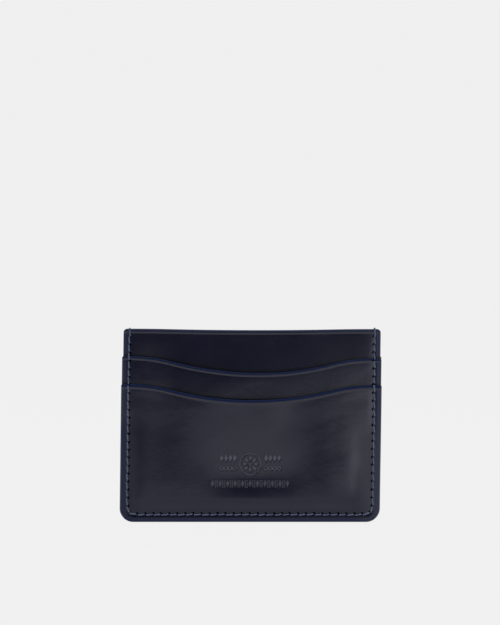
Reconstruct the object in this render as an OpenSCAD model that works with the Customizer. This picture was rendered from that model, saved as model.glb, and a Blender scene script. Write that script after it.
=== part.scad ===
// Card holder: six leather panels sewn round three sides, with two card slots on
// each face and one open-topped pocket between the two walls.
// +Z is up, the front faces -Y, and the origin is the middle of the bottom edge.

/* [Body] */
// Width across the sewn sides
body_w = 101.8; // [98:0.2:108]
// Height of the walls
body_h = 75.6; // [74:0.2:80]
// Radius of the two bottom corners
corner_r = 5.4; // [4.5:0.1:7]
// Thickness of each leather panel
leather_t = 1.1; // [0.9:0.05:1.3]
// How far the top edge of a wall dips in the middle
wall_dip = 0.5; // [0.2:0.1:2]

/* [Pockets] */
// Height of the shoulders of the upper pockets
upper_mouth = 65.0; // [63.5:0.1:65.5]
// Height of the shoulders of the lower pockets
lower_mouth = 54.0; // [53.8:0.1:55]
// How far a pocket's mouth dips in the middle
mouth_dip = 6.1; // [3:0.1:9]
// Room for a card in each slot
slot_gap = 0.8; // [0.6:0.05:1]
// Room in the pocket between the walls
centre_gap = 0.8; // [0.6:0.05:1.4]
// Height of the hidden seam under each upper pocket
base_seam = 14; // [12:0.5:18]

/* [Sewing] */
// Distance from the edge to the stitches
stitch_inset = 2.9; // [2.6:0.1:3.4]
// Diameter of the thread
thread_d = 0.56; // [0.4:0.02:0.58]

/* [Hidden] */

leather_blue = [0.07, 0.08, 0.15];
thread_blue = [0.28, 0.33, 0.46];

// Each mouth is a flat shoulder, a short blend and a long hollow arc, all tangent.
mouth_half = 47;
blend_share = 0.32;
mouth_steps = 14;
corner_steps = 8;
top_corner = 0.8;

// The sides step out a little at each shoulder, where the next pocket joins the seam.
half_w = body_w / 2;
upper_half = half_w - 0.15;
wall_half = half_w - 0.5;

// A pocket is full within pocket_half, and its panels lie together beyond margin_half.
pocket_half = 43.4;
margin_half = half_w - 4.3;
foot_margin = 4.4;
foot_rise = 3.1;

// The upper pockets are T-shaped: wide arms in the side seams over a narrower stem.
arm_foot = 43;
arm_fade = 4.5;
stem_half = 40;
stem_foot = base_seam - 1.6;
stem_margin = base_seam + 1.5;

lower_depth = centre_gap / 2 + 2 * leather_t + 2 * slot_gap;
far = 12;

// The seam runs down one side, round the bottom and up the other side.
seam_half = half_w - stitch_inset;
seam_top = body_h - 3;
seam_r = corner_r - stitch_inset;
side_run = seam_top - corner_r;
arc_run = PI / 2 * seam_r;
foot_run = 2 * (seam_half - seam_r);
seam_run = 2 * side_run + 2 * arc_run + foot_run;
seam_count = 2 * round(seam_run / 3.14 / 2);

base_count = 24;
base_pitch = 3.14;

// Both ends of the thread pass through each slit side by side.
strand_offset = 0.32;
slit = [0.66, 1.3];
thread_r = thread_d / 2;
post_r = thread_r - 0.03;
clear = 0.03;
overrun = 0.8 * thread_r;
groove_depth = 0.4;

// The blind stamp on the front is a row of lozenges over a rule.
stamp_z = 20.6;
stamp_depth = 0.15;

// ---- Curves ----

function ramp(v, low, high) = min(1, max(0, (v - low) / (high - low)));

function mouth_z(x, top, dip) =
    let (
        turn = 2 * atan(dip / mouth_half),
        both = mouth_half / sin(turn),
        blend_r = blend_share * both,
        arc_r = both - blend_r,
        reach = mouth_half - abs(x)
    )
    reach <= 0 ? top :
    abs(x) > arc_r * sin(turn) ? top - blend_r + sqrt(blend_r ^ 2 - reach ^ 2) :
    top - dip + arc_r - sqrt(arc_r ^ 2 - x ^ 2);

function mouth_points(top, dip) = [
    for (i = [-mouth_steps : mouth_steps])
        let (x = mouth_half * i / mouth_steps) [x, mouth_z(x, top, dip)]
];

function corner_points(cx, cz, r, from) = [
    for (i = [0 : corner_steps])
        let (a = from + 90 * i / corner_steps) [cx + r * cos(a), cz + r * sin(a)]
];

// ---- How far each panel's inner face stands from the middle of the holder ----

function full(x, z, foot) =
    min(1 - ramp(abs(x), pocket_half, margin_half), ramp(z, foot, foot + foot_rise));

wall_face = function (x, z) centre_gap / 2 * full(x, z, foot_margin);

upper_face = function (x, z)
    wall_face(x, z) + leather_t + slot_gap * full(x, z, stem_margin);

lower_margin = function (z)
    leather_t * (1 + ramp(z, arm_foot - arm_fade, arm_foot));

lower_face = function (x, z)
    let (edge = lower_margin(z))
    edge + (lower_depth - edge) * full(x, z, foot_margin);

// ---- Outlines, seen from the front ----

module foot_outline(half, top) {
    polygon(concat(
        corner_points(half - corner_r, corner_r, corner_r, -90),
        [[half, top], [-half, top]],
        corner_points(corner_r - half, corner_r, corner_r, 180)
    ));
}

module below_mouth(top, dip) {
    polygon(concat(
        [[-half_w - 1, -1], [-half_w - 1, top]],
        mouth_points(top, dip),
        [[half_w + 1, top], [half_w + 1, -1]]
    ));
}

module wall_outline() {
    intersection() {
        union() {
            foot_outline(half_w, lower_mouth);
            foot_outline(upper_half, upper_mouth);
            polygon(concat(
                [[-wall_half, corner_r], [wall_half, corner_r]],
                corner_points(wall_half - top_corner, body_h - top_corner, top_corner, 0),
                corner_points(top_corner - wall_half, body_h - top_corner, top_corner, 90)
            ));
        }
        below_mouth(body_h, wall_dip);
    }
}

module upper_outline() {
    intersection() {
        union() {
            translate([-upper_half, arm_foot])
                square([2 * upper_half, upper_mouth - arm_foot]);
            translate([-stem_half, stem_foot])
                square([2 * stem_half, upper_mouth - stem_foot]);
            translate([-half_w, arm_foot])
                square([body_w, lower_mouth - arm_foot]);
        }
        below_mouth(upper_mouth, mouth_dip);
    }
}

module lower_outline() {
    intersection() {
        foot_outline(half_w, lower_mouth);
        below_mouth(lower_mouth, mouth_dip);
    }
}

// Draws an outline through the whole front half of the holder.
module punch() {
    translate([0, 1, 0])
        rotate([90, 0, 0])
            linear_extrude(far + 1)
                children();
}

// ---- Panels ----

// A sheet of leather whose inner face stands face(x, z) in front of the middle.
module sheet(face, xs, zs) {
    nx = len(xs);
    nz = len(zs);
    inner = [for (x = xs) for (z = zs) [x, -face(x, z), z]];
    outer = [for (p = inner) [p[0], p[1] - leather_t, p[2]]];
    count = nx * nz;
    cells = [for (i = [0 : nx - 2]) for (j = [0 : nz - 2]) i * nz + j];
    ends = [for (j = [0 : nz - 2]) j];
    sides = [for (i = [0 : nx - 2]) i * nz];
    last = (nx - 1) * nz;
    polyhedron(
        points = concat(inner, outer),
        faces = concat(
            [for (k = cells) [count + k, count + k + 1, count + k + nz + 1]],
            [for (k = cells) [count + k, count + k + nz + 1, count + k + nz]],
            [for (k = cells) [k, k + nz + 1, k + 1]],
            [for (k = cells) [k, k + nz, k + nz + 1]],
            [for (k = ends) [k, k + 1, count + k + 1, count + k]],
            [for (k = ends) [last + k, count + last + k, count + last + k + 1, last + k + 1]],
            [for (k = sides) [k, count + k, count + k + nz, k + nz]],
            [for (k = sides) [k + nz - 1, k + 2 * nz - 1,
                count + k + 2 * nz - 1, count + k + nz - 1]]
        )
    );
}

sheet_xs = [-half_w - 1, -margin_half, -pocket_half, pocket_half, margin_half, half_w + 1];

module wall() {
    color(leather_blue) difference() {
        intersection() {
            sheet(wall_face, sheet_xs, [-1, foot_margin, foot_margin + foot_rise, body_h + 1]);
            punch() wall_outline();
        }
        seam_slits(0, body_h);
        base_slits();
        base_groove();
    }
}

module upper_pocket() {
    zs = [-1, foot_margin, foot_margin + foot_rise, stem_margin,
        stem_margin + foot_rise, body_h];
    color(leather_blue) difference() {
        intersection() {
            sheet(upper_face, sheet_xs, zs);
            punch() upper_outline();
        }
        seam_slits(arm_foot, upper_mouth);
        base_slits();
    }
}

module lower_pocket() {
    zs = [-1, foot_margin, foot_margin + foot_rise, arm_foot - arm_fade, arm_foot, body_h];
    color(leather_blue) difference() {
        intersection() {
            sheet(lower_face, sheet_xs, zs);
            punch() lower_outline();
        }
        seam_slits(0, lower_mouth);
    }
}

module lozenge(x, z, w, h) {
    translate([x, -lower_depth - leather_t, stamp_z + z])
        scale([w / h, 1, 1])
            rotate([0, 45, 0])
                cube([h / sqrt(2), 2 * stamp_depth, h / sqrt(2)], center = true);
}

// A plain ornament: a rosette of lozenges between two tapering rows, over a rule.
module stamp() {
    for (a = [0 : 45 : 315])
        translate([2.4 * sin(a), 0, 2.4 * cos(a)])
            lozenge(0, 2.2, 1.1, 1.1);
    for (side = [-1, 1])
        for (i = [0 : 4])
            lozenge(side * (5.6 + 1.75 * i), 2.2, 1.5 - 0.2 * i, 2.6 - 0.42 * i);
    translate([0, -lower_depth - leather_t, stamp_z - 4.4])
        cube([29, 2 * stamp_depth, 0.5], center = true);
}

// ---- Seams ----

// Where the seam is after run s, as [x, z, heading], with the heading in degrees.
function seam_at(s) =
    s < side_run ? [-seam_half, seam_top - s, -90] :
    s < side_run + arc_run ?
        let (a = 90 * (s - side_run) / arc_run)
        [seam_r - seam_half - seam_r * cos(a), corner_r - seam_r * sin(a), a - 90] :
    s <= seam_run / 2 ?
        [s - side_run - arc_run - seam_half + seam_r, stitch_inset, 0] :
    let (p = seam_at(seam_run - s)) [-p[0], p[1], -p[2]];

function seam_hole(i) = seam_at(seam_run * i / seam_count);

function seam_surface(z) =
    z > upper_mouth ? leather_t :
    z > lower_mouth ? 2 * leather_t :
    leather_t + lower_margin(z);

function seam_level(i) =
    max(seam_surface(seam_hole(i)[1]), seam_surface(seam_hole(i + 1)[1])) + thread_r + clear;

function base_hole(i) = [(i - base_count / 2) * base_pitch, base_seam, 0];

module slit_at(hole) {
    translate([hole[0], 0, hole[1]])
        rotate([0, -hole[2], 0])
            cube([slit[0], 2 * far, slit[1]], center = true);
}

module seam_slits(low, high) {
    for (i = [0 : seam_count])
        let (hole = seam_hole(i))
            if (hole[1] > low && hole[1] < high) slit_at(hole);
}

module base_slits() {
    for (i = [0 : base_count]) slit_at(base_hole(i));
}

// The base seam's inner stitches lie in a groove, clear of the cards.
module base_groove() {
    translate([0, 0, base_seam])
        cube([base_count * base_pitch + 2, centre_gap + 2 * groove_depth, 1.5], center = true);
}

function beside(hole, shift) =
    [hole[0] - shift * sin(hole[2]), hole[1] + shift * cos(hole[2])];

module rod(a, b, r) {
    d = b - a;
    translate(a)
        rotate([0, acos(d[2] / norm(d)), atan2(d[1], d[0])])
            translate([0, 0, -overrun])
                cylinder(r = r, h = norm(d) + 2 * overrun, $fn = 32);
}

// A post through the holder at p, from front level to back level.
module post(p, front, back) {
    translate([p[0], -front, p[1]])
        rotate([-90, 0, 0])
            cylinder(r = post_r, h = front + back, $fn = 32);
}

// One strand of a saddle stitch: it lies on the front and the back by turns, and its
// side of each slit changes with every hole, which slants every stitch the same way.
module strand(count, turn, hole, front, back) {
    shift = function (i) strand_offset * (i % 2 == turn ? 1 : -1);
    for (i = [0 : count - 1])
        let (
            y = i % 2 == turn ? back(i) : -front(i),
            a = beside(hole(i), shift(i)),
            b = beside(hole(i + 1), shift(i + 1))
        )
        rod([a[0], y, a[1]], [b[0], y, b[1]], thread_r);
    for (i = [0 : count])
        let (before = max(i - 1, 0), after = min(i, count - 1))
        post(
            beside(hole(i), shift(i)),
            before % 2 == turn ? front(after) : front(before),
            before % 2 == turn ? back(before) : back(after)
        );
}

// The strand starts and ends in half a loop over the top edge.
module seam_thread(turn) {
    level = function (i) seam_level(i);
    hole = function (i) seam_hole(i);
    lift = leather_t + thread_r + clear;
    color(thread_blue) {
        strand(seam_count, turn, hole, level, level);
        for (end = [0, seam_count])
            let (
                p = beside(hole(end), strand_offset * (end % 2 == turn ? 1 : -1)),
                y = (end == 0) == (turn == 0) ? -lift : lift,
                top = body_h + thread_r + clear
            ) {
                rod([p[0], y, p[1]], [p[0], y, top], thread_r);
                translate([p[0], min(0, y), top])
                    rotate([-90, 0, 0])
                        cylinder(r = post_r, h = lift, $fn = 32);
            }
    }
}

module base_thread(turn) {
    hole = function (i) base_hole(i);
    front = function (i) centre_gap / 2 + 2 * leather_t + thread_r + clear;
    back = function (i) thread_r + clear - centre_gap / 2 - groove_depth;
    color(thread_blue) strand(base_count, turn, hole, front, back);
}

module at_back() {
    mirror([0, 1, 0]) children();
}

wall();  // front_wall
upper_pocket();  // front_upper_pocket
difference() {  // front_lower_pocket
    lower_pocket();
    stamp();
}
at_back() wall();  // back_wall
at_back() upper_pocket();  // back_upper_pocket
at_back() lower_pocket();  // back_lower_pocket
seam_thread(0);  // seam_thread_a
seam_thread(1);  // seam_thread_b
base_thread(0);  // front_base_thread_a
base_thread(1);  // front_base_thread_b
at_back() base_thread(0);  // back_base_thread_a
at_back() base_thread(1);  // back_base_thread_b
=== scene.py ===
"""Card holder: fine leather panels, twisted saddle-stitch threads and a plain studio, round the CAD frame.

Shapes are worked out in millimetres as a depth in front of the middle of the holder, and go to metres
at the end. The back is the front's shape mirrored, without the ornament.
"""

import math

import bpy
import numpy as np
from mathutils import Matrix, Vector


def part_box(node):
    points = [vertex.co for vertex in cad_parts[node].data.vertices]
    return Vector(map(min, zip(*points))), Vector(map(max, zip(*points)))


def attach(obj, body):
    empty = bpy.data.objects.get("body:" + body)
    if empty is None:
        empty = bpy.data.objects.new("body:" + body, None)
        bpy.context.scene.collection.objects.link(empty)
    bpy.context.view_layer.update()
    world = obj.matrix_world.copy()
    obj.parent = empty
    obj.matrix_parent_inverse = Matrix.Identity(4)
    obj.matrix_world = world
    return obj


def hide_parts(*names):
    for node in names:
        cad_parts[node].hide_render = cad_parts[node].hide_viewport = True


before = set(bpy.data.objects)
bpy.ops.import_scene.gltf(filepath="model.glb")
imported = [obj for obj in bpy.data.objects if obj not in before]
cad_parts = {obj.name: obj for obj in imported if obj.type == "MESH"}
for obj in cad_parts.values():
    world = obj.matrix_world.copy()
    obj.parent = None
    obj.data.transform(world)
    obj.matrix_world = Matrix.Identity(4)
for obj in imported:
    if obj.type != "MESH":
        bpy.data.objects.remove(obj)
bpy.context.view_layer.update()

MM = 0.001
QUARTER_TURN = math.pi / 2
FAR = 1e3


def link(thing):
    """Puts an object into the scene."""
    bpy.context.scene.collection.objects.link(thing)


def box_mm(node):
    """The lowest and the highest corner of a CAD node."""
    lowest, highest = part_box(node)
    return np.array(lowest) / MM, np.array(highest) / MM


# ---------------- sizes, mm

WALL_TOP = box_mm("front_wall")[1][2]
HALF_W = box_mm("front_lower_pocket")[1][0]
UPPER_TOP = box_mm("front_upper_pocket")[1][2]
LOWER_TOP = box_mm("front_lower_pocket")[1][2]
STEM_FOOT = box_mm("front_upper_pocket")[0][2]
TOPS = {"wall": WALL_TOP, "upper": UPPER_TOP, "lower": LOWER_TOP}

# the panels: LEAN is how far the holder leans to its right for each mm of height
LEATHER = 1.1
CORNER_R = 5.4
TOP_CORNER_R = {"wall": 1.5, "upper": 0.5, "lower": 0.5}
ARM_FOOT = 43.0
STEM_HALF = 40.0
MOUTH_HALF = 47.0
BLEND_SHARE = 0.32
LEAN = 0.0137

# the side and bottom seam, and the hidden seam at the stem's foot
STITCH_INSET = 2.9
STITCH_PITCH = 3.14
SEAM_HALF = HALF_W - STITCH_INSET
SEAM_TOP = WALL_TOP - 3.0
SEAM_R = CORNER_R - STITCH_INSET
SEAM_FOOT = 3.05
SEAM_TURN_Z = SEAM_FOOT + SEAM_R
BASE_SEAM_Z = 14.0
BASE_COUNT = 24

# a stitch: how far its ends slant over the holes, lie outside them and are sunk into the leather
THREAD_R = 0.33
STRAND_SHIFT = 0.17
STRAND_OUT = 0.08
SEAM_SINK = 0.34

# a pit round a hole: how far it lies inside the seam, and how far it reaches along and across it
PIT_IN = 0.3
PIT_ALONG = 0.62
PIT_ACROSS = 0.6

# the middle of the ornament
STAMP_Z = 20.6


def smooth(low, high, value):
    """0 below low, 1 above high, and flat at both."""
    t = np.clip((value - low) / (high - low), 0.0, 1.0)
    return t * t * t * (t * (6 * t - 15) + 10)


def ridge(value, middle, width):
    """A bell curve: 1 at the middle, and about a third at width from it."""
    return np.exp(-(((value - middle) / width) ** 2))


# ---------------- mouths


def mouth_drop(x, dip, offset, tilt):
    """How far a pocket's mouth lies below its shoulder at x: flat, a short blend, then a long arc."""
    x = x - offset * np.cos(QUARTER_TURN * np.clip(x / MOUTH_HALF, -1, 1)) ** 2
    turn = 2 * math.atan(dip / MOUTH_HALF)
    both = MOUTH_HALF / math.sin(turn)
    blend_r = BLEND_SHARE * both
    arc_r = both - blend_r
    reach = np.clip(MOUTH_HALF - np.abs(x), 0, None)
    blend = blend_r - np.sqrt(np.clip(blend_r**2 - reach**2, 0, None))
    arc = dip - arc_r + np.sqrt(np.clip(arc_r**2 - x**2, 0, None))
    drop = np.where(np.abs(x) > arc_r * math.sin(turn), blend, arc)
    return drop + tilt * (0.5 + 0.5 * np.clip(x / MOUTH_HALF, -1, 1))


MOUTHS = {
    "wall": dict(dip=0.5, offset=0.0, tilt=0.15),
    "upper": dict(dip=6.1, offset=1.5, tilt=1.1),
    "lower": dict(dip=5.9, offset=-0.1, tilt=0.5),
}

# ---------------- depths

# the panels swell from the side seams inwards, and from the bottom seam upwards, between these places
SWELL_FROM = 13.0
SWELL_TO = 47.3
FOOT_FROM = 3.0
FOOT_TO = 9.5

# the room behind each panel, and how much further the two mouths gape
WALL_ROOM = 0.4
UPPER_ROOM = 0.15
LOWER_ROOM = 0.85
UPPER_GAPE = 0.45
LOWER_GAPE = 1.25

# the gap that keeps each panel off the one behind it at the seams
UPPER_GAP = 0.02
LOWER_GAP = 0.04

# a bulge near the left end of each panel: height, middle and half width, and where it rises
BULGES = {
    "wall": (0.34, -40.5, 7.5, 57, 77),
    "upper": (0.3, -40.0, 8.0, 46, 57),
    "lower": (0.34, -39.0, 6.5, 34, 58),
}

# the lower pocket's belly in the middle, and what its sides, its left and its right add
BELLY_HEIGHT = (0.38, 0.2, 0.55, 0.45)
BELLY_REACH = (7.5, 8.5, 3.0, 2.0)
BELLY_Z = 8.5

# two small bulges low on the right: one over the foot, one beside the seam
FOOT_BULGE = 0.18
FLANK_BULGE = 0.12


def fullness(x, z):
    """1 in the middle, falling ever faster to 0 at the side seams, and 0 at the foot."""
    reach = np.clip((np.abs(x) - SWELL_FROM) / (SWELL_TO - SWELL_FROM), 0, 1)
    foot_top = FOOT_TO + 0.8 * smooth(10, 26, np.abs(x - 1))
    return (1 - reach**1.9) * smooth(FOOT_FROM, foot_top, z)


def gape(x, z, width, low, high):
    """How far a mouth stands open: most in the middle of the mouth, nothing at the side seams."""
    return ridge(x, 0, width) * np.clip((z - low) / (high - low), 0, 1.2) ** 1.3


def left_bulge(kind, x, z):
    """How far a panel bulges near its left end."""
    height, middle, width, low, high = BULGES[kind]
    return height * ridge(x, middle, width) * smooth(low, high, z)


def weighted(sizes, shares):
    """The first size, and every further one times its share."""
    total = sizes[0]
    for size, share in zip(sizes[1:], shares):
        total = total + size * share
    return total


def waves(x, z, seed, size, height):
    """Slow unevenness, as in any hide, from a few seeded waves."""
    rng = np.random.default_rng(seed)
    count = 7
    total = np.zeros_like(x)
    for _ in range(count):
        heading = rng.uniform(0, 2 * math.pi)
        length = size * rng.uniform(0.7, 1.8)
        phase = rng.uniform(0, 2 * math.pi)
        along = x * math.cos(heading) + z * math.sin(heading)
        total = total + np.sin(2 * math.pi * along / length + phase)
    return height * total / count


def wall_inner(x, z):
    """The wall's inner face: the two walls lean together a little towards the top."""
    closing = 1 - 0.5 * smooth(44, WALL_TOP + 12, z)
    return -0.01 + WALL_ROOM * fullness(x, z) * closing + left_bulge("wall", x, z)


def upper_inner(x, z):
    """The upper pocket's inner face: tight over its hidden seam, and slightly open at the mouth."""
    above_stem = smooth(BASE_SEAM_Z + 1.5, BASE_SEAM_Z + 12, z)
    room = UPPER_ROOM * above_stem + UPPER_GAPE * gape(x - 12, z, width=30, low=40, high=60)
    on_wall = wall_inner(x, z) + LEATHER + UPPER_GAP
    return on_wall + room * fullness(x, z) + left_bulge("upper", x, z)


def build_up(z):
    """How far the side seams have come from two layers thick, at the foot, to three at the arms."""
    t = np.clip((z - 3) / (ARM_FOOT - 2), 0, 1)
    return t - 0.07 * np.sin(2 * math.pi * t)


def lower_seam(z):
    """The lower pocket's inner face at the seam: on the wall, and over the arms higher up."""
    return LEATHER * (1 + build_up(z)) + LOWER_GAP


def lower_fill(x, z):
    """How much thicker the lower pocket is at its sides, where it's pressed on under the arms."""
    step = smooth(ARM_FOOT - 1.5, ARM_FOOT, z)
    side = smooth(44.5, 46.5, np.abs(x))
    return LEATHER * np.clip(build_up(z) - step, 0, 1) * side


def belly(x, z):
    """The lower pocket stands out most just over its foot, and more so left and right."""
    low_right = (1 - smooth(16, 40, z)) * smooth(0, 10, x)
    side = smooth(10, 30, np.abs(x - 1))
    left, right = smooth(18, 36, -x), smooth(13, 33, x - 3 * low_right)
    height = weighted(BELLY_HEIGHT, (side, left, right))
    reach = weighted(BELLY_REACH, (side, left, right))
    fade = np.exp(-((np.clip(z - BELLY_Z, 0, None) / reach) ** 2))
    closing = 1 - smooth(36 + 7 * left + 2.5 * low_right, 47.2, np.abs(x))
    foot = FOOT_BULGE * np.exp(-(((x - 30) / 8) ** 2) - ((z - BELLY_Z) / 6) ** 2)
    flank = FLANK_BULGE * ridge(x, 38.5, 4.5) * low_right
    return (height * fade * closing + foot + flank) * smooth(FOOT_FROM, FOOT_TO, z)


def lower_inner(x, z):
    """The lower pocket's inner face: full in the middle, and open at the mouth."""
    seam = lower_seam(z)
    mouth_width = 19.5 - 5 * smooth(-6, 24, x)
    opening = gape(x + 2.6, z, mouth_width, low=17, high=48)
    middle = 2 * LEATHER + LOWER_ROOM + LOWER_GAPE * opening
    return seam + (middle - seam) * fullness(x, z) + belly(x, z) + left_bulge("lower", x, z)


INNER = {"wall": wall_inner, "upper": upper_inner, "lower": lower_inner}


def mouth_z(kind, x):
    """Height of a panel's mouth at x."""
    return TOPS[kind] - mouth_drop(x, **MOUTHS[kind])


def outer_surface(x, z):
    """Depth of the outermost leather at x, z."""
    x, z = np.asarray(x, float), np.asarray(z, float)
    depth = wall_inner(x, z) + LEATHER
    depth = np.where(z < mouth_z("upper", x), upper_inner(x, z) + LEATHER, depth)
    return np.where(z < mouth_z("lower", x), lower_inner(x, z) + LEATHER, depth)


# ---------------- seams

SIDE_RUN = SEAM_TOP - SEAM_TURN_Z
ARC_RUN = QUARTER_TURN * SEAM_R
SEAM_RUN = 2 * SIDE_RUN + 2 * ARC_RUN + 2 * (SEAM_HALF - SEAM_R)
SEAM_COUNT = 2 * round(SEAM_RUN / STITCH_PITCH / 2)


def seam_at(s):
    """Where the seam is after run s from its top left end, as x, z and heading."""
    if s > SEAM_RUN / 2:
        x, z, heading = seam_at(SEAM_RUN - s)
        return -x, z, -heading
    if s < SIDE_RUN:
        return -SEAM_HALF, SEAM_TOP - s, -QUARTER_TURN
    if s < SIDE_RUN + ARC_RUN:
        a = (s - SIDE_RUN) / SEAM_R
        x = SEAM_R - SEAM_HALF - SEAM_R * math.cos(a)
        return x, SEAM_TURN_Z - SEAM_R * math.sin(a), a - QUARTER_TURN
    return s - SIDE_RUN - ARC_RUN - SEAM_HALF + SEAM_R, SEAM_FOOT, 0.0


def beside(hole, shift):
    """A place beside a hole, on the inner side of the seam where shift is positive."""
    x, z, heading = hole
    return x - shift * math.sin(heading), z + shift * math.cos(heading)


def hand_made_holes():
    """The holes of the seam, each a little off its even place, apart from the two at the ends."""
    rng = np.random.default_rng(5)
    most_along, most_across = 0.22, 0.1
    along = np.clip(rng.normal(0, 0.1, SEAM_COUNT + 1), -most_along, most_along)
    across = np.clip(rng.normal(0, 0.05, SEAM_COUNT + 1), -most_across, most_across)
    along[[0, -1]] = across[[0, -1]] = 0
    holes = [seam_at(SEAM_RUN * i / SEAM_COUNT + along[i]) for i in range(SEAM_COUNT + 1)]
    return [(*beside(hole, shift), hole[2]) for hole, shift in zip(holes, across)]


SEAM_HOLES = hand_made_holes()
PITS = [(*beside(hole, PIT_IN), hole[2]) for hole in SEAM_HOLES]
BASE_HOLES = [((i - BASE_COUNT / 2) * STITCH_PITCH, BASE_SEAM_Z, 0.0) for i in range(BASE_COUNT + 1)]


def seam_distance(x, z):
    """Distance to the line of the side and bottom seam."""
    side = np.abs(np.abs(x) - SEAM_HALF)
    bottom = np.abs(z - SEAM_FOOT)
    corner = np.abs(np.hypot(np.abs(x) - SEAM_HALF + SEAM_R, z - SEAM_TURN_Z) - SEAM_R)
    straight = np.where(z > SEAM_TURN_Z, side, bottom)
    in_corner = (np.abs(x) > SEAM_HALF - SEAM_R) & (z < SEAM_TURN_Z)
    return np.where(in_corner, corner, straight)


def pit_distance(x, z):
    """Distance to the nearest pit's middle, in sizes of a pit."""
    nearest = np.full_like(x, FAR)
    for hx, hz, heading in PITS:
        near = (np.abs(x - hx) < 3) & (np.abs(z - hz) < 3)
        dx, dz = x[near] - hx, z[near] - hz
        along = dx * math.cos(heading) + dz * math.sin(heading)
        across = dz * math.cos(heading) - dx * math.sin(heading)
        reach = np.hypot(along / PIT_ALONG, across / PIT_ACROSS)
        nearest[near] = np.minimum(nearest[near], reach)
    return nearest


# ---------------- ornament

ROSETTE_Z = STAMP_Z + 2.2
ROSETTE_R = 2.2
PETAL = (0.62, 1.2)
HUB_R = 0.5
RING_R = 4.1
RING_HALF_WIDTH = 0.26
SIDE_FROM = 6.1
SIDE_PITCH = 1.7
SIDE_LOZENGE_Z = ROSETTE_Z + 2.3
SIDE_LOZENGE = (0.85, 1.7)
LINK_DROP = 1.7
LINK_R = 0.68
LINK_HALF_WIDTH = 0.25
ROW_Z = STAMP_Z - 5.5
ROW_PITCH = 1.46
ROW_HALF_COUNT = 10
ROW_LOZENGE = (0.66, 1.35)
BAR_SHIFT = 0.37
BAR_HALF_SIZE = (0.19, 1.2)


def ornament(x, z):
    """Signed distance, roughly, to a rosette between rows of lozenges and rings, over a longer row."""
    nearest = np.full_like(x, FAR)

    def add(distance):
        np.minimum(nearest, distance, out=nearest)

    def lozenge(cx, cz, a, b, angle=0.0):
        dx, dz = x - cx, z - cz
        u = dx * math.cos(angle) + dz * math.sin(angle)
        v = dz * math.cos(angle) - dx * math.sin(angle)
        add((np.abs(u) / a + np.abs(v) / b - 1) * a * b / math.hypot(a, b))

    for k in range(8):
        turn = k * math.pi / 4
        petal_x, petal_z = ROSETTE_R * math.sin(turn), ROSETTE_Z + ROSETTE_R * math.cos(turn)
        lozenge(petal_x, petal_z, *PETAL, -turn)
    from_middle = np.hypot(x, z - ROSETTE_Z)
    add(np.abs(from_middle - RING_R) - RING_HALF_WIDTH)
    add(from_middle - HUB_R)
    for side in (-1, 1):
        for i in range(4):
            across = side * (SIDE_FROM + SIDE_PITCH * i)
            lozenge(across, SIDE_LOZENGE_Z, SIDE_LOZENGE[0], SIDE_LOZENGE[1] - 0.1 * i)
            from_link = np.hypot(x - across, z - ROSETTE_Z + LINK_DROP)
            add(np.abs(from_link - LINK_R) - LINK_HALF_WIDTH)
    for i in range(-ROW_HALF_COUNT, ROW_HALF_COUNT + 1):
        across = ROW_PITCH * i
        if i % 2:
            twin_bars = np.abs(np.abs(x - across) - BAR_SHIFT) - BAR_HALF_SIZE[0]
            add(np.maximum(twin_bars, np.abs(z - ROW_Z) - BAR_HALF_SIZE[1]))
        else:
            lozenge(across, ROW_Z, *ROW_LOZENGE)
    return nearest


# ---------------- panels

# a panel's mesh is a quadtree: level 0 is a root cell of this size, and level 4 the finest
ROOT_CELL = 1.6
DEEPEST = 4
FINEST = 1 << DEEPEST


def dilate(flags):
    """The flags and their neighbours in the four directions."""
    grown = flags.copy()
    grown[1:] |= flags[:-1]
    grown[:-1] |= flags[1:]
    grown[:, 1:] |= flags[:, :-1]
    grown[:, :-1] |= flags[:, 1:]
    return grown


def lattice(knots):
    """Line positions of the finest lattice, with whole root cells between neighbouring knots."""
    lines = []
    for low, high in zip(knots[:-1], knots[1:]):
        cells = max(1, round((high - low) / ROOT_CELL)) * FINEST
        lines.extend(np.linspace(low, high, cells, endpoint=False))
    return np.array(lines + [knots[-1]])


def refine(us, vs, mask, wanted):
    """A quadtree over the lattice, balanced so that neighbours differ by one level at most.

    wanted(u, v, cell) is the level that a cell's middle needs. Returns the leaves of each level.
    """
    exists, splits, leaves = mask.copy(), [], []
    for level in range(DEEPEST + 1):
        step = FINEST >> level
        cu = us[step // 2 :: step] if step > 1 else (us[:-1] + us[1:]) / 2
        cv = vs[step // 2 :: step] if step > 1 else (vs[:-1] + vs[1:]) / 2
        grid_u, grid_v = np.meshgrid(cu, cv, indexing="ij")
        if level < DEEPEST:
            splits.append(exists & (wanted(grid_u, grid_v, step / FINEST * ROOT_CELL) > level))
            exists = np.repeat(np.repeat(splits[-1], 2, 0), 2, 1)
    for level in range(DEEPEST - 1, 0, -1):
        needed = dilate(splits[level])
        rows, columns = splits[level - 1].shape
        times = 1 << (level - 1)
        inside = np.repeat(np.repeat(mask, times, 0), times, 1)
        splits[level - 1] |= needed.reshape(rows, 2, columns, 2).any((1, 3)) & inside
    exists = mask.copy()
    for level in range(DEEPEST + 1):
        split = splits[level] & exists if level < DEEPEST else np.zeros_like(exists)
        leaves.append(np.argwhere(exists & ~split) * (FINEST >> level))
        exists = np.repeat(np.repeat(split, 2, 0), 2, 1)
    return leaves


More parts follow.
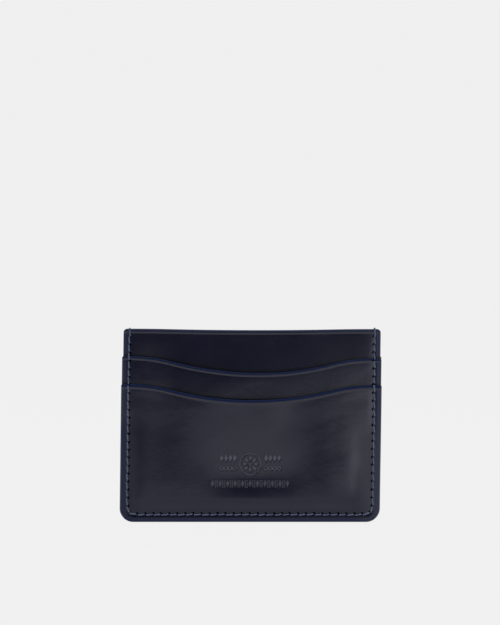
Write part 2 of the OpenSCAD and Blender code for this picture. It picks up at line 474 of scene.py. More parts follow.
def tiles(leaves, shape):
    """A quadtree's used lattice places, their numbers, its quads, and fans where a neighbour is finer."""
    corner = np.zeros(shape, bool)
    for level, cells in enumerate(leaves):
        step = FINEST >> level
        for a, b in ((0, 0), (step, 0), (step, step), (0, step)):
            corner[cells[:, 0] + a, cells[:, 1] + b] = True
    quads, fans = [], []
    for level, cells in enumerate(leaves):
        step, half = FINEST >> level, (FINEST >> level) // 2
        if not len(cells):
            continue
        ring = [cells + np.array(o) for o in ((0, 0), (step, 0), (step, step), (0, step))]
        if not half:
            quads.append(np.stack(ring, 1))
            continue
        mids = [cells + np.array(o) for o in ((half, 0), (step, half), (half, step), (0, half))]
        hung = [corner[m[:, 0], m[:, 1]] for m in mids]
        plain = ~np.any(hung, 0)
        quads.append(np.stack(ring, 1)[plain])
        centre = cells + half
        for k in range(4):
            start, end = ring[k], ring[(k + 1) % 4]
            whole, broken = ~plain & ~hung[k], ~plain & hung[k]
            fans.append(np.stack([centre, start, end], 1)[whole])
            fans.append(np.stack([centre, start, mids[k]], 1)[broken])
            fans.append(np.stack([centre, mids[k], end], 1)[broken])
    quads, fans = np.concatenate(quads), np.concatenate(fans)
    used = np.zeros(shape, bool)
    for polygons in (quads, fans):
        used[polygons[..., 0], polygons[..., 1]] = True
    places = np.argwhere(used)
    index = np.full(shape, -1)
    index[places[:, 0], places[:, 1]] = np.arange(len(places))
    return places, index, index[quads[..., 0], quads[..., 1]], index[fans[..., 0], fans[..., 1]]


def gather(d, reach):
    """Rows near an edge gather as they do on a quarter round of that reach."""
    turn = np.clip(1 - d / reach, 0, 1) * QUARTER_TURN
    return np.where(d < reach, reach * (1 - np.sin(turn)), d)


def fall(d, reach, height):
    """How far the face has fallen away at a distance from the edge: height at the edge itself."""
    turn = np.clip(1 - d / reach, 0, 1) * QUARTER_TURN
    return height * (1 - np.cos(turn))


def round_corner(x, z, cx, cz, sx, sz, r):
    """Bends the square corner outside cx, cz into a quarter disc of radius r."""
    a, b = (x - cx) * sx / r, (z - cz) * sz / r
    inside = (a > 1e-9) & (b > 1e-9)
    far, near = np.maximum(a, b), np.minimum(a, b)
    angle = np.where(inside, near / np.where(inside, far, 1), 0) * math.pi / 4
    long, short = far * np.cos(angle), far * np.sin(angle)
    new_a, new_b = np.where(a >= b, long, short), np.where(a >= b, short, long)
    return np.where(inside, cx + sx * r * new_a, x), np.where(inside, cz + sz * r * new_b, z)


# shading masks: edge paint, painted shade in black, creased lines, duller places, the stamp with its
# painted highlight, and the rim
MASKS = ("edge", "pit_and_painted_shade", "crease", "dull", "stamp_and_painted_highlight", "rim")

# how far from the mouth and from the other edges the creased lines run
CREASE = {"wall": 1.45, "upper": 1.35, "lower": 1.6}
SIDE_CREASE = 0.95

# the rounding of the edges, on the outer and on the inner face
EDGE_REACH = (0.62, 0.4)
EDGE_FALL = (0.5, 0.35)

# how much narrower the panels are on each side, above the lower and the upper mouth
STEP_OVER_LOWER = 0.15
STEP_OVER_UPPER = 0.35

# a panel follows its mouth's curve from this far below its top, and fully from 4 mm below it
FLOW_REACH = 36
FLOW_RUN = 32

# how deep the leather is pressed in, and how far the strip along a mouth stands out
STRIP_PROUD = 0.16
SIDE_LINE_DEPTH = 0.1
CHANNEL_DEPTH = 0.08
PIT_DEPTH = 0.9
PULL_DEPTH = 0.14
STAMP_DEPTH = 0.3
BED_DEPTH = 0.36

# seed, size and height of the slow waves and of the small ones
HIDE_WAVES = (11, 17.0, 0.06)
SMALL_WAVES = (23, 6.0, 0.008)


class Panel:
    """One leather panel, seen from the front: kind is wall, upper or lower."""

    def __init__(self, kind, stamp_and_painted_highlight):
        self.kind, self.stamp_and_painted_highlight = kind, stamp_and_painted_highlight
        self.top = TOPS[kind]
        if kind == "upper":
            self.us = lattice([-HALF_W, -STEM_HALF, STEM_HALF, HALF_W])
            self.vs = lattice([STEM_FOOT, ARM_FOOT, self.top])
        else:
            self.us = lattice([-HALF_W, HALF_W])
            self.vs = lattice([0.0, self.top])
        middles = slice(FINEST // 2, None, FINEST)
        grid_u, grid_v = np.meshgrid(self.us[middles], self.vs[middles], indexing="ij")
        self.mask = np.ones_like(grid_u, bool)
        if kind == "upper":
            self.mask = (np.abs(grid_u) < STEM_HALF) | (grid_v > ARM_FOOT)

    def edge_distances(self, u, v):
        """Distances from the sides, the foot and the mouth, before rounding.

        The stem's edges and the arms' feet aren't rounded, so they count as far away.
        """
        side = HALF_W - np.abs(u)
        foot = v.copy()
        if self.kind == "upper":
            foot = np.full_like(v, FAR)
            side = np.where(v > ARM_FOOT + 1e-6, side, FAR)
        return side, foot, self.top - v

    def place(self, u, v, face):
        """x, z and the edge distances of lattice places, with the rows near the edges gathered."""
        side, foot, mouth = self.edge_distances(u, v)
        reach = EDGE_REACH[face]
        near_side, near_foot, near_mouth = (gather(d, reach) for d in (side, foot, mouth))
        x = np.where(side < FAR, np.sign(u) * (HALF_W - near_side), u)
        z = np.where(foot < FAR, near_foot, v)
        z = np.where(mouth < reach, self.top - near_mouth, z)
        if self.kind != "upper":
            for sx in (-1, 1):
                x, z = round_corner(x, z, sx * (HALF_W - CORNER_R), CORNER_R, sx, -1, CORNER_R)
        top_r = TOP_CORNER_R[self.kind]
        for sx in (-1, 1):
            x, z = round_corner(x, z, sx * (HALF_W - top_r), self.top - top_r, sx, 1, top_r)
        share = np.clip((v - (self.top - FLOW_REACH)) / FLOW_RUN, 0, 1)
        step = STEP_OVER_LOWER * smooth(LOWER_TOP - 0.6, LOWER_TOP, z)
        step = step + STEP_OVER_UPPER * smooth(UPPER_TOP - 0.6, UPPER_TOP, z)
        x = x - np.sign(x) * step * smooth(HALF_W - 8, HALF_W - 3, np.abs(x))
        z = z - share * mouth_drop(x, **MOUTHS[self.kind])
        plain = np.minimum(np.minimum(side, foot), mouth)
        return x, z, (near_side, near_foot, near_mouth), plain

    def wanted(self, u, v, cell, face):
        """The quadtree level that a place needs: the finest at pits and at the ornament's outline."""
        fine = DEEPEST - 1
        slack = cell * 0.75
        level = np.ones_like(u)

        def need(where, least):
            level[where] = np.maximum(level[where], least)

        x, z, (side, foot, mouth), plain = self.place(u, v, face)
        need(plain < 0.7 + slack, fine)
        if self.kind == "upper":
            raw = np.minimum(np.abs(v - ARM_FOOT), np.abs(v - STEM_FOOT))
            raw = np.minimum(raw, np.abs(np.abs(u) - STEM_HALF))
            need(np.minimum(raw, HALF_W - np.abs(u)) < cell * 0.6, fine)
        if face == 1:
            return level
        frame_edge = np.minimum(side, foot)
        crease = np.minimum(np.abs(frame_edge - SIDE_CREASE), np.abs(mouth - CREASE[self.kind]))
        need(crease < 0.5 + slack, fine)
        shown = z > self.hidden_below(x) - 2
        need(shown & (seam_distance(x, z) < 0.75 + slack), fine)
        need(shown & (pit_distance(x, z) < 1.15 + slack), DEEPEST)
        if self.stamp_and_painted_highlight:
            need(np.abs(ornament(x, z)) < 0.15 + slack, DEEPEST)
        return np.where(plain < 0.15, np.minimum(level, fine), level)

    def hidden_below(self, x):
        """The height under which the panel lies behind the next pocket."""
        if self.kind == "lower":
            return np.full_like(x, -9.0)
        return mouth_z("upper" if self.kind == "wall" else "lower", x)

    def outside(self, x, z, edges, plain, depth):
        """The outer face's depth with all that is pressed into it, and its shading masks."""
        side, foot, mouth = edges
        crease_at = CREASE[self.kind]
        over = z - self.hidden_below(x)
        shown = smooth(-2.0, -0.4, over)
        frame_edge = np.minimum(side, foot)
        seam = seam_distance(x, z)

        # the creased lines, and the strip between a mouth and its line
        side_line = ridge(frame_edge, SIDE_CREASE, 0.2) * (mouth > 1.2)
        mouth_line = ridge(mouth, crease_at, 0.22) * (frame_edge > 0.8)
        strip = 1 - smooth(crease_at - 0.3, crease_at + 0.3, mouth)
        depth = depth + STRIP_PROUD * strip - SIDE_LINE_DEPTH * side_line
        if self.kind == "upper":
            depth = depth - 0.06 * np.exp(-np.clip(mouth - crease_at, 0, None) / 1.3)

        # what the seam pulls in
        channel = ridge(seam, 0, 0.42) * (z < SEAM_TOP + 0.4)
        pit_and_painted_shade = (1 - smooth(0.35, 1.1, pit_distance(x, z))) * smooth(0.2, 0.9, plain)
        pull = ridge(seam, 0, 1.5) * (1 - 0.6 * smooth(44, 58, z))
        sewn = CHANNEL_DEPTH * channel + PIT_DEPTH * pit_and_painted_shade + PULL_DEPTH * pull
        depth = depth - shown * sewn

        for (seed, size, height), share in ((HIDE_WAVES, smooth(1.5, 6, plain)), (SMALL_WAVES, 1)):
            depth = depth + waves(x, z, seed + len(self.kind), size, height) * share

        # paint at the edges; painted shade in black in the pits, faintly along the seam's channel, round
        # the stamp's marks and just over the mouth of the pocket in front; and duller places
        band = 1 - smooth(crease_at - 0.75, crease_at - 0.4, mouth)
        outer_band = 1 - smooth(1.2, 2.2, frame_edge)
        edge = 1 - smooth(EDGE_REACH[0] * 0.62, EDGE_REACH[0] * 1.05, plain)
        edge = np.maximum(np.maximum(edge, band), 0.7 * outer_band)
        # painted shade in black: in the pits, on a panel just over the mouth of the pocket in front of it,
        # and faintly along the seam's channel
        shade = 0.65 * (over > -1) * (1 - smooth(0.2, 1.5, over)) * (self.kind != "lower")
        painted_groove_shade = 0.1 * ridge(seam, 0, 0.34) * shown
        dark = np.maximum(np.maximum(pit_and_painted_shade, shade), painted_groove_shade)
        foot_dull = 0.45 * (1 - smooth(6, 17, z)) * (1 - smooth(40, 48, np.abs(x)))
        left_dull = 0.5 * smooth(37, 45, -x) * (1 - smooth(34, 44, z))
        band_dull = band * (0.4 if self.kind == "wall" else 1.0)
        dull = np.maximum(np.maximum(foot_dull, left_dull), band_dull)

        pressed = np.zeros_like(x)
        if self.stamp_and_painted_highlight:
            mark = ornament(x, z)
            # painted highlight: the stamp's marks are made pale blue
            pressed = 1 - smooth(-0.12, 0.14, mark)
            # painted shade in black round the stamp's marks
            dark = np.maximum(dark, 0.5 * ridge(mark, 0.16, 0.16))
            bed = np.exp(-(((x - 1) / 16) ** 4) - ((z - STAMP_Z + 1.4) / 8.6) ** 2)
            depth = depth - STAMP_DEPTH * pressed - BED_DEPTH * bed

        return depth, {
            "edge": edge,
            "pit_and_painted_shade": dark,
            "crease": np.maximum(side_line, mouth_line),
            "dull": dull,
            "stamp_and_painted_highlight": pressed,
            "rim": 1 - smooth(0.3, 0.65, side),
        }

    def inside(self, x, z, plain, depth):
        """The inner face's depth, and its one shading mask."""
        if self.kind == "lower":
            depth = depth - lower_fill(x, z)
        return depth, {"edge": 1 - smooth(EDGE_REACH[1] * 0.5, EDGE_REACH[1], plain)}

    def surface(self, u, v, face):
        """Positions in mm and the shading masks of one face: 0 is the outside, 1 the inside."""
        x, z, edges, plain = self.place(u, v, face)
        depth = INNER[self.kind](x, z)
        rolled = fall(plain, EDGE_REACH[face], EDGE_FALL[face])
        if face == 0:
            depth, masks = self.outside(x, z, edges, plain, depth + LEATHER - rolled)
        else:
            depth, masks = self.inside(x, z, plain, depth)
            depth = depth + rolled
        shading = [masks.get(label, np.zeros_like(x)) for label in MASKS]
        return np.stack([x, depth, z], 1), np.stack(shading, 1)

    def face_mesh(self, face):
        """One face's lattice places with their numbers, its quads and fans, points and masks."""
        leaves = refine(self.us, self.vs, self.mask, lambda u, v, cell: self.wanted(u, v, cell, face))
        places, index, quads, fans = tiles(leaves, (len(self.us), len(self.vs)))
        points, masks = self.surface(self.us[places[:, 0]], self.vs[places[:, 1]], face)
        return places, index, quads, fans, points, masks

    def build(self, name, back):
        """The whole panel: both faces, and the rim that joins their borders."""
        places, _, quads, fans, points, masks = self.face_mesh(0)
        _, inner_index, inner_quads, inner_fans, inner_points, inner_masks = self.face_mesh(1)
        shift = len(points)
        sides = [p[:, [k, (k + 1) % n]] for p, n in ((quads, 4), (fans, 3)) for k in range(n)]
        edges = np.concatenate(sides)
        key = edges[:, 0].astype(np.int64) * shift + edges[:, 1]
        reverse = edges[:, 1].astype(np.int64) * shift + edges[:, 0]
        border = edges[~np.isin(key, reverse)]
        inner = inner_index[places[border, 0], places[border, 1]]
        if (inner < 0).any():
            raise ValueError(f"{name}: the two faces don't share their border")
        rim = np.stack([border[:, 1], border[:, 0], inner[:, 0] + shift, inner[:, 1] + shift], 1)
        faces = [quads, fans, rim, inner_quads[:, ::-1] + shift, inner_fans[:, ::-1] + shift]
        mesh = make_mesh(name, np.concatenate([points, inner_points]), faces, back)
        shading = np.concatenate([masks, inner_masks]).astype(np.float32)
        for k, label in enumerate(MASKS):
            layer = mesh.attributes.new(label, "FLOAT", "POINT")
            layer.data.foreach_set("value", np.ascontiguousarray(shading[:, k]))
        rim_start = len(quads) + len(fans)
        rim_end = rim_start + len(rim)
        slots = np.zeros(len(mesh.polygons), np.int32)
        slots[rim_start:rim_end] = 1
        slots[rim_end:] = 2
        mesh.polygons.foreach_set("material_index", slots)
        mesh.set_sharp_from_angle(angle=math.radians(60))
        return mesh


def make_mesh(name, points, faces, back, flip=False):
    """A mesh from depths: points are x, depth, z in mm, and back puts it behind the middle.

    flip turns the faces of a mesh whose points are already mirrored.
    """
    x, depth, z = points.T
    x = x + LEAN * (z - WALL_TOP / 2)
    y = depth if back else -depth
    co = np.stack([x, y, z], 1) * MM
    if back != flip:
        faces = [f[:, ::-1] for f in faces]
    loops = np.concatenate([f.ravel() for f in faces])
    sizes = np.concatenate([np.full(len(f), f.shape[1]) for f in faces])
    starts = np.concatenate([[0], np.cumsum(sizes)[:-1]])
    mesh = bpy.data.meshes.new(name)
    mesh.vertices.add(len(co))
    mesh.vertices.foreach_set("co", co.astype(np.float32).ravel())
    mesh.loops.add(len(loops))
    mesh.loops.foreach_set("vertex_index", loops.astype(np.int32))
    mesh.polygons.add(len(sizes))
    mesh.polygons.foreach_set("loop_start", starts.astype(np.int32))
    mesh.polygons.foreach_set("loop_total", sizes.astype(np.int32))
    mesh.update(calc_edges=True)
    mesh.validate()
    mesh.polygons.foreach_set("use_smooth", np.ones(len(mesh.polygons), bool))
    return mesh


def add_piece(name, mesh, materials, node):
    """One piece of the holder, in the place of a CAD node."""
    for material in materials:
        mesh.materials.append(material)
    piece = bpy.data.objects.new(name, mesh)
    link(piece)
    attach(piece, "root")
    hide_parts(node)


# ---------------- threads

PLIES = 3
RING = 15
LAY = 1.9
STEP_SHOWN = 0.15
STEP_HIDDEN = 0.6
STEP_BASE = 0.25

# one stitch from hole to hole: the share of the way, and how far it has come up
LOOP = np.array([
    (0.04, 0.0), (0.08, 0.35), (0.12, 0.68), (0.17, 0.9), (0.25, 1.0), (0.37, 1.05),
    (0.50, 1.07), (0.63, 1.05), (0.75, 1.0), (0.83, 0.9), (0.88, 0.68), (0.92, 0.35), (0.96, 0.0),
])

# the thread's ends: how far out and how high they hook over the top edge, and how sharply they bend
HOOK_OUT = LEATHER + THREAD_R - 0.22
HOOK_TOP = WALL_TOP + THREAD_R - 0.25
HOOK_BEND = 1.0


def loop(start, end, level_of, sign, base):
    """One stitch between two holes: x, y, z points, rising steeply beside each hole."""
    t, up = LOOP.T
    x = start[0] + (end[0] - start[0]) * t
    z = start[1] + (end[1] - start[1]) * t
    depth = base + (level_of(x, z) - base) * up
    return np.stack([x, sign * depth, z], 1)


def resample(path, step_of):
    """The path with points at the steps that step_of gives."""
    gaps = np.linalg.norm(np.diff(path, axis=0), axis=1)
    path = path[np.concatenate([[True], gaps > 1e-6])]
    gaps = np.linalg.norm(np.diff(path, axis=0), axis=1)
    run = np.concatenate([[0], np.cumsum(gaps)])
    marks, s = [], 0.0
    while s < run[-1]:
        marks.append(s)
        k = min(np.searchsorted(run, s, "right") - 1, len(path) - 2)
        s += step_of(path[k])
    marks.append(run[-1])
    return np.stack([np.interp(marks, run, path[:, k]) for k in range(3)], 1)


def soften(path, rounds):
    """Rounds off the path's corners."""
    for _ in range(rounds):
        path[1:-1] = 0.25 * path[:-2] + 0.5 * path[1:-1] + 0.25 * path[2:]
    return path


def twisted(path):
    """A three-ply cord round a path: its rings of points, and the run at each ring."""
    tangent = np.gradient(path, axis=0)
    tangent /= np.linalg.norm(tangent, axis=1)[:, None]
    run = np.concatenate([[0], np.cumsum(np.linalg.norm(np.diff(path, axis=0), axis=1))])
    side = np.zeros_like(path)
    guide = np.cross(tangent[0], [0.3, 1.0, 0.2])
    for k in range(len(path)):
        guide = guide - tangent[k] * (guide @ tangent[k])
        guide = guide / np.linalg.norm(guide)
        side[k] = guide
    third = np.cross(tangent, side)
    around = np.arange(RING) * 2 * math.pi / RING
    lobes = 0.8 + 0.2 * np.abs(np.cos(around * PLIES / 2)) ** 0.8
    spin = 2 * math.pi * run / LAY
    angle = around[None, :] + spin[:, None]
    radius = THREAD_R * lobes
    points = (
        path[:, None, :]
        + (radius * np.cos(angle))[..., None] * side[:, None, :]
        + (radius * np.sin(angle))[..., None] * third[:, None, :]
    )
    return points, run


def thread_mesh(name, path, flip_y):
    """A closed cord, with its run and turn as UV, and with an attribute of painted shade where the leather
    covers it.
    """
    points, run = twisted(path)
    rings = len(points)
    ends = [points[0].mean(0), points[-1].mean(0)]
    flat = np.concatenate([points.reshape(-1, 3), ends])
    if flip_y:
        flat = flat * [1, -1, 1]
    i = np.arange(rings - 1)[:, None] * RING
    j = np.arange(RING)
    k = (j + 1) % RING
    quads = np.stack([i + j, i + k, i + RING + k, i + RING + j], -1).reshape(-1, 4)
    first_end = np.full(RING, rings * RING)
    last_ring = (rings - 1) * RING
    first = np.stack([first_end, k, j], 1)
    last = np.stack([first_end + 1, last_ring + j, last_ring + k], 1)
    mesh = make_mesh(name, flat * [1, -1, 1], [quads, first, last], False, flip=flip_y)
    layer = mesh.uv_layers.new(name="run")
    vertex = np.zeros(len(mesh.loops), np.int32)
    mesh.loops.foreach_get("vertex_index", vertex)
    along = np.concatenate([np.repeat(run, RING), [run[0], run[-1]]])
    turn = np.concatenate([np.tile(j / RING, rings), [0, 0]])
    uv = np.stack([along[vertex], turn[vertex]], 1)
    layer.data.foreach_set("uv", uv.astype(np.float32).ravel())
    # painted shade: the thread turns black as it goes into the leather
    leather_depth = outer_surface(flat[:, 0], flat[:, 2]) - SEAM_SINK
    painted_sunk_shade = smooth(-0.1, 0.3, leather_depth - np.abs(flat[:, 1]))
    shade = mesh.attributes.new("painted_sunk_shade", "FLOAT", "POINT")
    shade.data.foreach_set("value", painted_sunk_shade.astype(np.float32))
    return mesh


def strand_path(holes, turn, front_level, back_level, front_base, back_base):
    """The run of one strand: it lies in front and behind by turns, and changes side at each hole."""
    parts = []
    for i in range(len(holes) - 1):
        behind = i % 2 == turn
        slant = STRAND_SHIFT if behind else -STRAND_SHIFT
        start = beside(holes[i], slant - STRAND_OUT)
        end = beside(holes[i + 1], -slant - STRAND_OUT)
        level, base = (back_level, back_base) if behind else (front_level, front_base)
        parts.append(loop(start, end, level, 1 if behind else -1, base(start, end)))
    return parts


def hook_over(hole, shift, sign):
    """A thread end: from the top edge's middle over it, down the face and into the last hole."""
    hx, hz = beside(hole, shift)
    top_x = hole[0]
    bend = [
        (
            top_x + (hx - top_x) * math.sin(a) * 0.5,
            sign * HOOK_OUT * math.sin(a) ** 0.6,
            HOOK_TOP - HOOK_BEND * (1 - math.cos(a) ** 0.6),
        )
        for a in np.linspace(0, QUARTER_TURN, 7)
    ]
    below = HOOK_TOP - HOOK_BEND
    drop = [
        (top_x + (hx - top_x) * s, sign * HOOK_OUT, below + (hz - HOOK_TOP + HOOK_BEND) * t)
        for s, t in ((0.7, 0.3), (0.9, 0.65), (1.0, 0.88))
    ]
    inside = [(hx, sign * (HOOK_OUT - 0.35), hz), (hx, sign * 0.3, hz)]
    return np.array(bend + drop + inside)


def seam_strand(turn):
    """One strand of the side and bottom seam, with a hook over the top edge at both ends."""

    def level(x, z):
        depth = np.stack([outer_surface(x, z + d) for d in (-0.45, -0.2, 0, 0.2, 0.45)])
        return depth.max(0) - SEAM_SINK + THREAD_R - 0.08

    def base(start, end):
        return float(min(outer_surface(*start), outer_surface(*end))) - 1.0

    def step_of(p):
        return STEP_SHOWN if abs(p[1]) > outer_surface(p[0], p[2]) - 0.7 else STEP_HIDDEN

    last = len(SEAM_HOLES) - 1
    hooks = []
    for end in (0, last):
        shift = STRAND_SHIFT if end % 2 == turn else -STRAND_SHIFT
        sign = -1 if (end == 0) == (turn == 0) else 1
        hooks.append(hook_over(SEAM_HOLES[end], shift, sign))
    parts = strand_path(SEAM_HOLES, turn, level, level, base, base)
    path = np.concatenate([hooks[0], *parts, hooks[1][::-1]])
    return resample(soften(resample(path, lambda p: 0.1), 3), step_of)


def base_strand(turn):
    """One strand of the hidden seam at the foot of an upper pocket's stem."""

    def front(x, z):
        return upper_inner(x, z) + LEATHER + THREAD_R - 0.35

    def behind(x, z):
        return -(wall_inner(x, z) + 0.3 * THREAD_R) + 0.25

    parts = strand_path(BASE_HOLES, turn, front, behind, lambda a, b: 1.8, lambda a, b: -1.0)
    path = resample(np.concatenate(parts), lambda p: 0.12)
    return resample(soften(path, 3), lambda p: STEP_BASE)


# ---------------- materials

NAVY_DARK = (0.0060, 0.0071, 0.0195)
NAVY_LIGHT = (0.0090, 0.0103, 0.0255)
PAINT_DARK = (0.005, 0.011, 0.040)
PAINT = (0.0062, 0.0152, 0.056)
# black, for painted shade in the pits and gaps and on thread inside the leather
SHADE_BLACK = (0.0008, 0.0008, 0.0012)
# pale blue, a painted highlight on the stamp's marks
STAMP_HIGHLIGHT = (0.076, 0.084, 0.113)
FLESH_DARK = (0.007, 0.009, 0.018)
FLESH_LIGHT = (0.018, 0.021, 0.034)
THREAD_DARK = (0.045, 0.062, 0.130)
THREAD_LIGHT = (0.165, 0.205, 0.330)
POLISH_TINT = (0.91, 0.89, 1.0)


class Nodes:
    """The shader nodes of a material or a world, with a short call for each kind used here."""

    def __init__(self, tree):
        self.tree = tree
        self.shader = tree.nodes.get("Principled BSDF")

    def feed(self, socket, value):
        """Links a socket to an output, or sets it to a number or a colour."""
        if isinstance(value, bpy.types.NodeSocket):
            self.tree.links.new(value, socket)
        elif isinstance(value, tuple):
            socket.default_value = (*value, 1.0)
        else:
            socket.default_value = value

    def set(self, name, value):
        """Feeds one of the principled shader's inputs."""
        self.feed(self.shader.inputs[name], value)

    def add(self, kind, **values):
        """A new node with these inputs, where an underscore stands for a space."""
        node = self.tree.nodes.new("ShaderNode" + kind)
        for name, value in values.items():
            self.feed(node.inputs[name.replace("_", " ")], value)
        return node

    def place(self, output="Object"):
        return self.add("TexCoord").outputs[output]

    def attribute(self, name):
        node = self.add("Attribute")
        node.attribute_name = name
        return node.outputs["Fac"]

    def noise(self, place, scale, detail=3.0, rough=0.55):
        node = self.add("TexNoise", Vector=place, Scale=scale, Detail=detail, Roughness=rough)
        return node.outputs["Fac"]

    def spread(self, value, low, high, out_low, out_high, kind="LINEAR"):
        """Maps low to high onto out_low to out_high, and stays within them."""
        ends = dict(From_Min=low, From_Max=high, To_Min=out_low, To_Max=out_high)
        node = self.add("MapRange", Value=value, **ends)
        node.interpolation_type = kind
        return node.outputs["Result"]

    def mix(self, share, first, second):
        """A colour between two, by the second one's share."""
        node = self.add("Mix")
        node.data_type = "RGBA"
        for k, value in ((0, share), (6, first), (7, second)):
            self.feed(node.inputs[k], value)
        return node.outputs[2]

    def combine(self, operation, first, second):
        node = self.add("Math")
        node.operation = operation
        self.feed(node.inputs[0], first)
        self.feed(node.inputs[1], second)
        return node.outputs[0]

    def bump(self, height, strength, distance, **before):
        node = self.add("Bump", Height=height, Strength=strength, Distance=distance, **before)
        return node.outputs["Normal"]


def new_material(name):
    material = bpy.data.materials.new(name)
    material.use_nodes = True
    return material, Nodes(material.node_tree)


def leather_material():
    """Polished navy leather, painted at the edges, with painted shade in black at the pits and gaps, and a
    painted highlight in pale blue on the stamp's marks.
    """
    material, nodes = new_material("polished_leather")
    place = nodes.place()
    cloud = nodes.noise(place, 45.0, 4.0)
    speck = nodes.noise(place, 1500.0, 2.0)
    paint = nodes.attribute("edge")
    rim = nodes.attribute("rim")

    pressed = nodes.combine("MULTIPLY", nodes.attribute("stamp_and_painted_highlight"), 0.95)
    colour = nodes.mix(nodes.spread(cloud, 0.35, 0.65, 0, 1), NAVY_DARK, NAVY_LIGHT)
    colour = nodes.mix(paint, colour, PAINT)
    # painted highlight: the stamp's marks mixed towards pale blue
    colour = nodes.mix(pressed, colour, STAMP_HIGHLIGHT)
    # painted shade: black mixed in at the pits, along the seam's channel, round the stamp and just over a
    # pocket's mouth
    nodes.set("Base Color", nodes.mix(nodes.attribute("pit_and_painted_shade"), colour, SHADE_BLACK))

    rough = nodes.spread(cloud, 0.3, 0.7, 0.18, 0.23)
    rough = nodes.combine("ADD", rough, nodes.spread(speck, 0.3, 0.7, -0.01, 0.015))
    for operation, mask, amount in (
        ("SUBTRACT", nodes.attribute("crease"), 0.06),
        ("ADD", paint, 0.3),
        ("SUBTRACT", rim, 0.28),
    ):
        rough = nodes.combine(operation, rough, nodes.combine("MULTIPLY", mask, amount))
    nodes.set("Roughness", rough)

    shine = nodes.spread(nodes.attribute("dull"), 0, 1, 0.54, 0.11)
    shine = nodes.combine("ADD", shine, nodes.combine("MULTIPLY", rim, 0.5))
    nodes.set("Specular IOR Level", shine)
    nodes.set("Specular Tint", POLISH_TINT)
    nodes.set("IOR", 1.5)

    pores = nodes.add("TexVoronoi", Vector=place, Scale=1900.0).outputs["Distance"]
    grain = nodes.bump(pores, 0.05, 0.00012)
    grain = nodes.bump(nodes.noise(place, 900.0), 0.10, 0.0001, Normal=grain)
    grain = nodes.bump(nodes.noise(place, 160.0, 2.0), 0.12, 0.0003, Normal=grain)
    nodes.set("Normal", grain)
    return material


def paint_material():
    """The dark blue edge paint."""
    material, nodes = new_material("painted_edge")
    place = nodes.place()
    cloud = nodes.noise(place, 220.0)
    nodes.set("Base Color", nodes.mix(cloud, PAINT_DARK, PAINT))
    nodes.set("Roughness", nodes.spread(cloud, 0.3, 0.7, 0.5, 0.65))
    nodes.set("Specular IOR Level", 0.35)
    nodes.set("Normal", nodes.bump(nodes.noise(place, 500.0, 2.0), 0.25, 0.0001))
    return material


def flesh_material():
    """The soft, napped inner side of the leather."""
    material, nodes = new_material("leather_flesh_side")
    place = nodes.place()
    cloud = nodes.noise(place, 120.0, 5.0, 0.65)
    nap = nodes.noise(place, 2600.0, 4.0, 0.7)
    share = nodes.spread(cloud, 0.3, 0.7, 0, 1)
    nodes.set("Base Color", nodes.mix(share, FLESH_DARK, FLESH_LIGHT))
    nodes.set("Roughness", nodes.spread(nap, 0.3, 0.7, 0.72, 0.92))
    nodes.set("Sheen Weight", 0.15)
    nodes.set("Sheen Roughness", 0.5)
    nodes.set("Normal", nodes.bump(nap, 0.5, 0.00015))
    return material


def thread_material():
    """Waxed thread, streaked along its fibres, with painted shade in black where it lies inside the
    leather.
    """
    material, nodes = new_material("waxed_thread")
    run = nodes.add("UVMap")
    run.uv_map = "run"
    stretch = nodes.add("Mapping", Vector=run.outputs["UV"])
    stretch.inputs["Scale"].default_value = (0.8, 18.0, 1.0)
    fibres = nodes.noise(stretch.outputs["Vector"], 3.0)
    cloud = nodes.noise(nodes.place(), 400.0, 2.0)
    share = nodes.combine("MULTIPLY", fibres, nodes.spread(cloud, 0.3, 0.7, 0.7, 1.3))
    colour = nodes.mix(share, THREAD_DARK, THREAD_LIGHT)
    # painted shade: black where the thread goes into the leather
    nodes.set("Base Color", nodes.mix(nodes.attribute("painted_sunk_shade"), colour, SHADE_BLACK))
    nodes.set("Roughness", nodes.spread(fibres, 0.3, 0.7, 0.42, 0.6))
    nodes.set("Sheen Weight", 0.1)
    nodes.set("Normal", nodes.bump(fibres, 0.35, 0.00008))
    return material


# ---------------- the holder

leather = [leather_material(), paint_material(), flesh_material()]
thread = [thread_material()]

for kind, label in (("wall", "wall"), ("upper", "upper_pocket"), ("lower", "lower_pocket")):
    for face in ("front", "back"):
        node = f"{face}_{label}"
        panel = Panel(kind, stamp_and_painted_highlight=node == "front_lower_pocket")
        mesh = panel.build(node + "_leather", back=face == "back")
        add_piece(node + "_leather", mesh, leather, node)

for turn, letter in ((0, "a"), (1, "b")):
    mesh = thread_mesh(f"seam_strand_{letter}", seam_strand(turn), False)
    add_piece(f"seam_strand_{letter}", mesh, thread, f"seam_thread_{letter}")
    for face in ("front", "back"):
        name = f"{face}_base_strand_{letter}"
        mesh = thread_mesh(name, base_strand(turn), face == "back")
        add_piece(name, mesh, thread, f"{face}_base_thread_{letter}")

# ---------------- studio, m

EYE = Vector((-0.00035, -0.70, 0.08195))
FACE_Y = -0.004
VIEW_HEIGHT = 0.2437
SENSOR = 36.0

# the floor glows fully behind the first of these places, and not at all in front of the second
FADE_FROM = -0.335
FADE_TO = -0.7
FLOOR_GLOW = 0.855
FLOOR_TONE = (0.03, 0.03, 0.03)

# a white card on the floor that glows as a lamp: its corners and its glow
CARD_CORNERS = ((0.075, -0.36), (0.26, -0.36), (0.60, -1.0), (0.15, -1.0))
CARD_GLOW = 1.4
WHITE = (1, 1, 1)

# the soft lamps' places, sizes and powers, and the place they are aimed at
HOLDER = Vector((0.0, 0.0, 0.04))
SOFTBOXES = {
    "top_box": ((0.0, -0.35, 1.3), (1.2, 0.8), 10.0),
    "right_box": ((0.42, -0.85, 0.12), (0.4, 0.6), 1.1),
    "left_box": ((-0.42, -0.85, 0.35), (0.4, 0.3), 0.04),
}

UNLIT = (0.012, 0.012, 0.014)
PALE_WALL = (0.72, 0.72, 0.73)


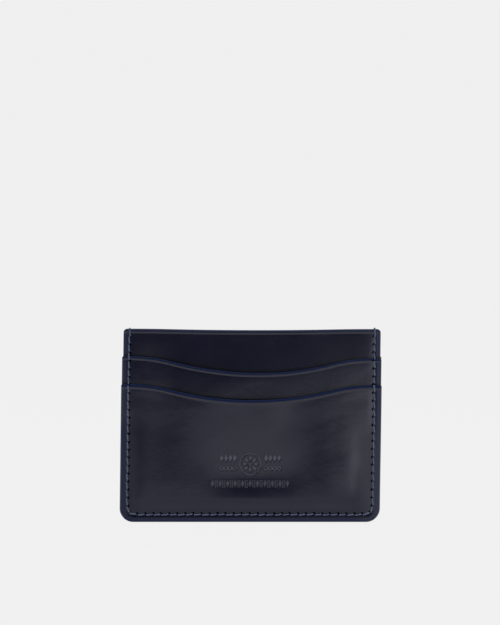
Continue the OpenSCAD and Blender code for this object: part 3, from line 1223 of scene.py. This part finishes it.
def add_camera():
    """A camera that looks level at the holder, with VIEW_HEIGHT in the picture at its face."""
    data = bpy.data.cameras.new("camera")
    data.sensor_width = SENSOR
    data.lens = SENSOR * (FACE_Y - EYE.y) / VIEW_HEIGHT
    data.clip_start = 0.01
    data.clip_end = 50
    camera = bpy.data.objects.new("camera", data)
    camera.location = EYE
    camera.rotation_euler = (QUARTER_TURN, 0.0, 0.0)
    link(camera)
    bpy.context.scene.camera = camera


def floor_material():
    """Pale matt paper that glows, and fades to dark towards the front."""
    material, nodes = new_material("pale_paper")
    place = nodes.place()
    tone = nodes.spread(nodes.noise(place, 3.0), 0.3, 0.7, 0.995, 1.005)
    nodes.set("Base Color", nodes.mix(tone, (0, 0, 0), FLOOR_TONE))
    nodes.set("Roughness", 1.0)
    nodes.set("Specular IOR Level", 0.0)
    nodes.set("Emission Color", WHITE)
    depth = nodes.add("SeparateXYZ", Vector=place).outputs["Y"]
    glow = nodes.spread(depth, FADE_FROM, FADE_TO, FLOOR_GLOW, 0.0, "SMOOTHSTEP")
    nodes.set("Emission Strength", glow)
    return material


def add_floor():
    """A floor that curves up into a backdrop behind the holder."""
    bend, back, front, height, half = 0.8, 1.6, -1.0, 3.0, 3.0
    steps = 24
    profile = [(front, 0.0), (back - bend, 0.0)]
    for k in range(1, steps + 1):
        a = k * QUARTER_TURN / steps
        profile.append((back - bend + bend * math.sin(a), bend - bend * math.cos(a)))
    profile.append((back, height))
    verts = [(x, y, z) for y, z in profile for x in (-half, half)]
    faces = [(2 * k, 2 * k + 1, 2 * k + 3, 2 * k + 2) for k in range(len(profile) - 1)]
    mesh = bpy.data.meshes.new("floor")
    mesh.from_pydata(verts, [], faces)
    mesh.materials.append(floor_material())
    for polygon in mesh.polygons:
        polygon.use_smooth = True
    floor = bpy.data.objects.new("floor", mesh)
    link(floor)


def add_card():
    """A white card lying on the floor, in front and to the right, that glows as a lamp."""
    mesh = bpy.data.meshes.new("card")
    mesh.from_pydata([(x, y, 0.001) for x, y in CARD_CORNERS], [], [(3, 2, 1, 0)])
    material, nodes = new_material("glowing_white_card")
    nodes.set("Roughness", 1.0)
    nodes.set("Emission Color", WHITE)
    nodes.set("Emission Strength", CARD_GLOW)
    mesh.materials.append(material)
    card = bpy.data.objects.new("floor_card", mesh)
    link(card)


def add_softbox(name, position, size, power):
    """A soft rectangular lamp, aimed at the holder."""
    data = bpy.data.lights.new(name, "AREA")
    data.shape = "RECTANGLE"
    data.size, data.size_y = size
    data.energy = power
    lamp = bpy.data.objects.new(name, data)
    lamp.location = position
    direction = HOLDER - Vector(position)
    lamp.rotation_euler = direction.to_track_quat("-Z", "Y").to_euler()
    link(lamp)


def add_world():
    """Pale walls at the sides and behind, with an unlit ceiling and an unlit room in front."""
    world = bpy.data.worlds.new("studio")
    world.use_nodes = True
    nodes = Nodes(world.node_tree)
    heading = nodes.add("SeparateXYZ", Vector=nodes.place("Generated"))
    behind = nodes.spread(heading.outputs["Y"], -0.5, 0.1, 0, 1)
    low = nodes.spread(heading.outputs["Z"], 0.2, 0.6, 1, 0)
    colour = nodes.mix(nodes.combine("MULTIPLY", behind, low), UNLIT, PALE_WALL)
    nodes.feed(world.node_tree.nodes["Background"].inputs["Color"], colour)
    bpy.context.scene.world = world


add_camera()
add_floor()
add_card()
for name, (position, size, power) in SOFTBOXES.items():
    add_softbox(name, position, size, power)
add_world()
bpy.context.scene.view_settings.view_transform = "Standard"
bpy.context.scene.view_settings.look = "None"

bpy.context.view_layer.update()
